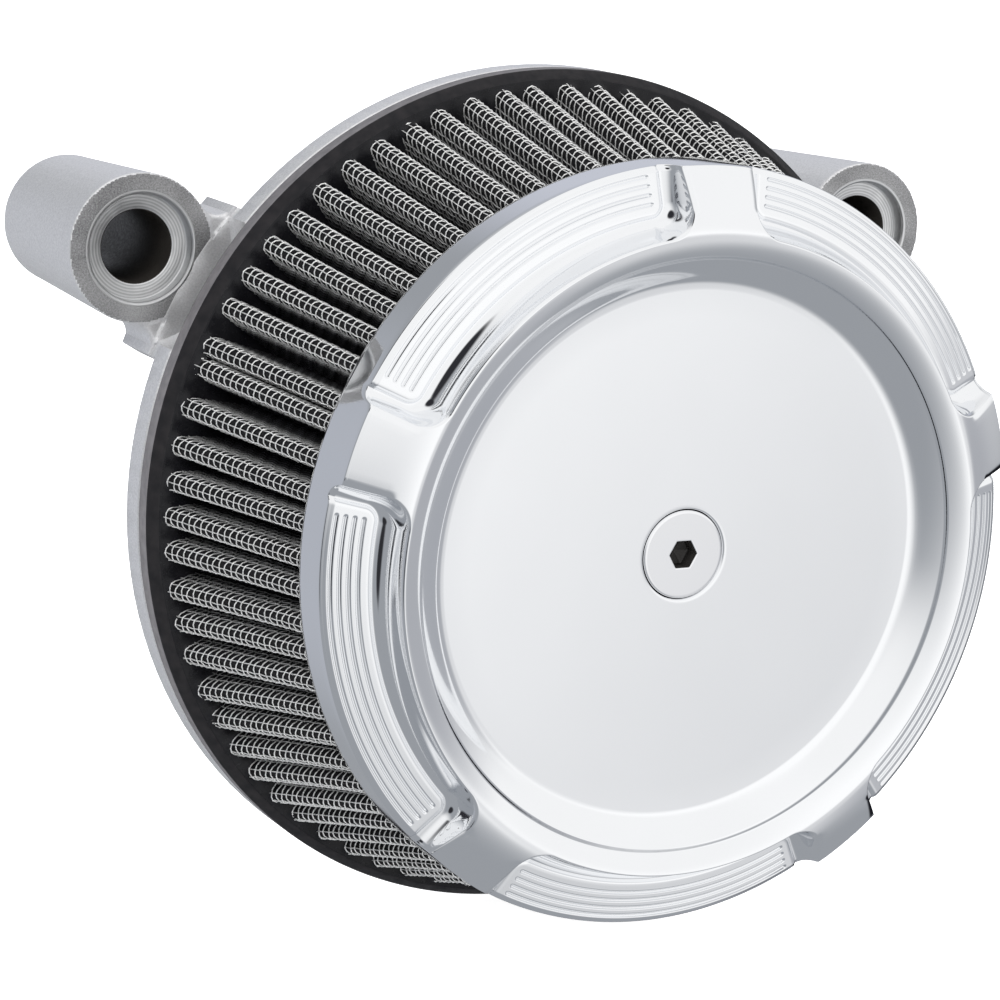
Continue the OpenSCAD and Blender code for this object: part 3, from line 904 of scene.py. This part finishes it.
def build_plate():
    """The machined disc keeps its CAD surfaces; each boss is a soft-edged casting with a turned bore."""
    disc = copy_of("backing_plate", "plate_disc")
    cut(disc, [cylinder_cutter(CAP_R, -60, 10)], "INTERSECT")
    add_bevel(disc, 0.2)
    apply_modifiers(disc)
    finish_copy(disc, MATERIALS["cast_satin"], "mount", "backing_plate", 40)
    face, rear = BOSS_FACE, BOSS_REAR
    floor_f = face - COUNTERBORE_D
    liner = [(10.55, face - 0.3), (10.5, face + 0.005), (10.2, face + 0.01), (COUNTERBORE_R + 0.15, face - 0.12),
             (COUNTERBORE_R, face - 0.45), (COUNTERBORE_R, floor_f + 0.25), (COUNTERBORE_R - 0.15, floor_f + 0.05),
             (9.3, floor_f), (7.05, floor_f), (BORE_R + 0.2, floor_f - 0.1), (BORE_R, floor_f - 0.35),
             (BORE_R, rear + 0.4), (BORE_R + 0.25, rear + 0.1), (7.4, rear + 0.05), (7.4, rear + 0.6),
             (7.1, rear + 1), (7.1, floor_f - 0.5), (10.3, floor_f - 0.5), (10.3, face - 0.6)]
    for name, side in (("left", -1), ("right", 1)):
        centre = (side * BOSS_X, BOSS_Z)
        boss = copy_of("backing_plate", f"{name}_boss_casting")
        cut(boss, [cylinder_cutter(BOSS_REACH, -90, 40, centre, 96)], "INTERSECT")
        cut(boss, [cylinder_cutter(CAP_R - 0.9, -90, 40),
                   cylinder_cutter(10.1, face - 2.9, face + 9, centre, 96),
                   cylinder_cutter(7.0, rear - 9, face + 9, centre, 96)], "DIFFERENCE")
        remesh = boss.modifiers.new("cast", "REMESH")
        remesh.mode, remesh.voxel_size = "VOXEL", CAST_VOXEL * MM
        soften = boss.modifiers.new("soft", "SMOOTH")
        soften.factor, soften.iterations = 0.5, 4
        apply_modifiers(boss)
        finish_copy(boss, MATERIALS["cast_satin"], "mount", "backing_plate")
        paint_where(boss, BARE_CASTING, lambda x, up, f, n: (f > face - 0.4) & (n[:, 1] < -0.8)
                    & (np.hypot(x - centre[0], up - centre[1]) < BARE_FACE_R))
        verts, faces = revolve(liner, circle_angles(96), centre)
        obj = add_mesh(f"{name}_bore_liner", verts, faces, "mount", "machined_aluminium", ["backing_plate"],
                       sharp_deg=50, fix_normals=True)
        repaint(obj, BORE_METAL[name])
        # The bore's deep wall is painted near-black: painted shade inside the hole.
        paint_where(obj, BORE_SHADE, lambda x, up, f, n:
                    (np.hypot(x - centre[0], up - centre[1]) < BORE_R + 0.35) & (f < floor_f - 0.2))


def finish_cad_nodes():
    """The CAD nodes still shown get softened edges and their slot's material."""
    replaced = {"cover", "cover_screw", "throttle_screws", "filter_media", "outer_wire_mesh", "inner_wire_mesh",
                "rear_end_cap", "front_end_cap", "backing_plate"}
    slots = {s["node"]: s["material_slot"] for s in frame["record"]["subparts"]}
    for name, obj in frame["nodes"].items():
        repaint(obj, MATERIALS[slots[name]])
        if name in replaced:
            continue
        add_bevel(obj, 0.3)
        weld = obj.modifiers.new("weld", "WELD")
        weld.merge_threshold = 1e-6
        obj.modifiers.move(1, 0)


build_cover()
build_cover_screw()
build_throttle_screws()
build_media()
build_wire_mesh("outer_gauze", "outer_wire_mesh", 1, 4, True)
build_wire_mesh("inner_gauze", "inner_wire_mesh", -1, 3, False)
build_rear_cap()
build_front_cap()
build_plate()
finish_cad_nodes()


# ------------------------------------------------------------ floor and lights

FLOOR_GAP = 0.6
FLOOR_HALF = 6.0
FLOOR_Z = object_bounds()[0].z - FLOOR_GAP * MM
corners = [(x * FLOOR_HALF, y * FLOOR_HALF, FLOOR_Z) for x, y in ((-1, -1), (1, -1), (1, 1), (-1, 1))]
floor = add_object("floor", make_mesh("floor", np.array(corners), [(0, 1, 2, 3)], False))
floor_mat, floor_nodes, floor_links, floor_shader, floor_coords = new_material("floor_white")
floor_shader.inputs["Roughness"].default_value = 0.9
floor_shader.inputs["Specular IOR Level"].default_value = 0.1
floor_grain = noise(floor_nodes, floor_links, floor_coords, 0.01)
floor_links.new(tinted(floor_nodes, floor_links, floor_grain, (0.86, 0.86, 0.86), (0.88, 0.88, 0.88)),
                floor_shader.inputs["Base Color"])
floor_shader.inputs["Emission Color"].default_value = (1, 1, 1, 1)
floor_shader.inputs["Emission Strength"].default_value = 0.9
floor.data.materials.append(floor_mat)
floor.visible_glossy = False

# Reflected surroundings: a grey room with soft boxes and dark cards.
# Each entry is a direction, the outer and inner angle of the patch's soft edge in degrees, and its colour.
ROOM = (0.34, 0.355, 0.38)
PATCHES = (
    ((0.478, -0.796, 0.372), 86, 26, (1.09, 1.09, 1.09)),
    ((0.72, -0.60, -0.42), 31, 6, (0.72, 0.725, 0.74)),
    ((0.62, -0.42, 0.66), 48, 22, (1.0, 1.0, 1.0)),
    ((-0.55, -0.50, 0.67), 52, 16, (1.0, 1.0, 1.0)),
    ((0.0, 0.25, 0.97), 46, 20, (1.0, 1.0, 1.0)),
    ((0.93, -0.25, -0.27), 30, 10, (0.44, 0.45, 0.48)),
    ((0.45, 0.86, 0.24), 34, 10, (0.58, 0.60, 0.67)),
    ((-0.50, 0.85, -0.12), 38, 10, (0.46, 0.48, 0.53)),
    ((0.66, 0.66, -0.35), 31, 21, (0.012, 0.012, 0.016)),
    ((-0.97, -0.18, -0.15), 15, 8, (0.03, 0.03, 0.035)),
    ((-0.70, 0.0, 0.71), 18, 10, (0.03, 0.03, 0.035)),
)
world = bpy.data.worlds.new("studio")
world.use_nodes = True
bpy.context.scene.world = world
wn, wl = world.node_tree.nodes, world.node_tree.links
wn.clear()
direction = wn.new("ShaderNodeTexCoord").outputs["Generated"]


def along(vector):
    dot = wn.new("ShaderNodeVectorMath")
    dot.operation = "DOT_PRODUCT"
    dot.inputs[1].default_value = vector
    wl.new(direction, dot.inputs[0])
    return dot.outputs["Value"]


def patch_edge(towards, outer, inner):
    edge = wn.new("ShaderNodeMapRange")
    edge.interpolation_type = "SMOOTHSTEP"
    edge.inputs["From Min"].default_value = math.cos(math.radians(outer))
    edge.inputs["From Max"].default_value = math.cos(math.radians(inner))
    wl.new(along(Vector(towards).normalized()), edge.inputs["Value"])
    return edge.outputs["Result"]


def world_mix(factor, first, second):
    mix = wn.new("ShaderNodeMix")
    mix.data_type = "RGBA"
    wl.new(factor, mix.inputs["Factor"])
    wl.new(first, mix.inputs[6])
    mix.inputs[7].default_value = (*second, 1)
    return mix.outputs[2]


room = wn.new("ShaderNodeRGB")
room.outputs[0].default_value = (*ROOM, 1)
current = room.outputs[0]
for towards, outer, inner, tint in PATCHES:
    current = world_mix(patch_edge(towards, outer, inner), current, tint)
lit = wn.new("ShaderNodeBackground")
wl.new(current, lit.inputs["Color"])
seen = wn.new("ShaderNodeBackground")
seen.inputs["Color"].default_value = (1, 1, 1, 1)
seen.inputs["Strength"].default_value = 1.0
chooser = wn.new("ShaderNodeMixShader")
wl.new(wn.new("ShaderNodeLightPath").outputs["Is Camera Ray"], chooser.inputs[0])
wl.new(lit.outputs[0], chooser.inputs[1])
wl.new(seen.outputs[0], chooser.inputs[2])
wl.new(chooser.outputs[0], wn.new("ShaderNodeOutputWorld").inputs["Surface"])


def soft_light(name, towards, distance, size, watts):
    data = bpy.data.lights.new(name, "AREA")
    data.shape, data.size, data.energy = "DISK", size, watts
    obj = add_object(name, data)
    place = Vector(towards).normalized() * distance
    obj.location = place
    obj.rotation_euler = place.to_track_quat("Z", "Y").to_euler()
    obj.visible_glossy = False


LAMP_DISTANCE, LAMP_SIZE = 1.4, 0.7
soft_light("key", (0.55, -0.5, 0.7), LAMP_DISTANCE, LAMP_SIZE, 10)
soft_light("left_fill", (-0.65, -0.45, 0.62), LAMP_DISTANCE, LAMP_SIZE, 22)


# ---------------------------------------------------------------------- camera

RIGHT = Vector((0.8876, -0.4584, 0.0454))
DOWN = Vector((-0.0580, -0.2091, -0.9762))
AHEAD = Vector((0.4570, 0.8638, -0.2121))
CAMERA_PLACE = (-0.2869, -0.5398, 0.1281)
camera_data = bpy.data.cameras.new("camera")
camera_data.lens, camera_data.sensor_width = 117.0, 36.0
camera_data.clip_start, camera_data.clip_end = 0.05, 20
camera = add_object("camera", camera_data)
rotation = Matrix((RIGHT, -DOWN, -AHEAD)).transposed()
camera.matrix_world = Matrix.Translation(CAMERA_PLACE) @ rotation.to_4x4()
bpy.context.scene.camera = camera
bpy.context.scene.view_settings.view_transform = "Standard"
